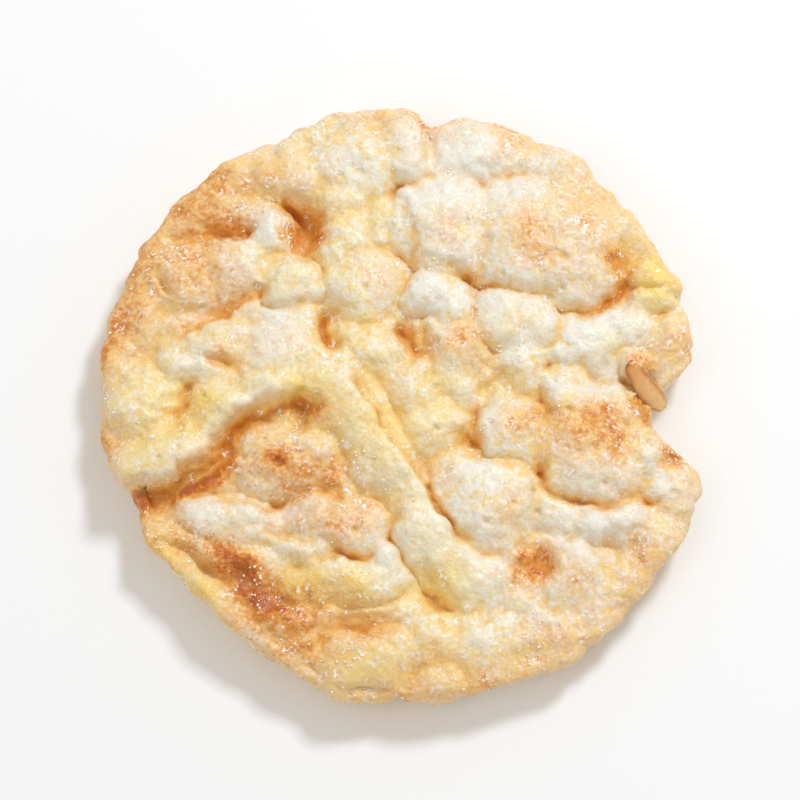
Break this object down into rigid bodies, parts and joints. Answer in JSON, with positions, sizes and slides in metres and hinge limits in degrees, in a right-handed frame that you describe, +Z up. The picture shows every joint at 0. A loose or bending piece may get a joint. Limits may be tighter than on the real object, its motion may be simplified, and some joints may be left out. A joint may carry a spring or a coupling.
{
  "type": "puffed rice cake",
  "caption": "Small round puffed rice cake: one thin crisp disc of popped grains with plump toasted puffs, creases and pits.",
  "frame": {"origin": "under the middle of the cake's box, on the surface that it rests on", "axes": "+Z is up through the disc's thickness, with the shown, puffier face on top; -Y is the side nearest the viewer"},
  "size_m": [0.05, 0.0514, 0.007],
  "materials": {
    "puffed_rice": "cream-white popped grain, toasted golden brown in patches, dry and slightly glossy"
  },
  "bodies": {
    "root": {"rice_cake": "puffed_rice"}
  },
  "joints": []
}
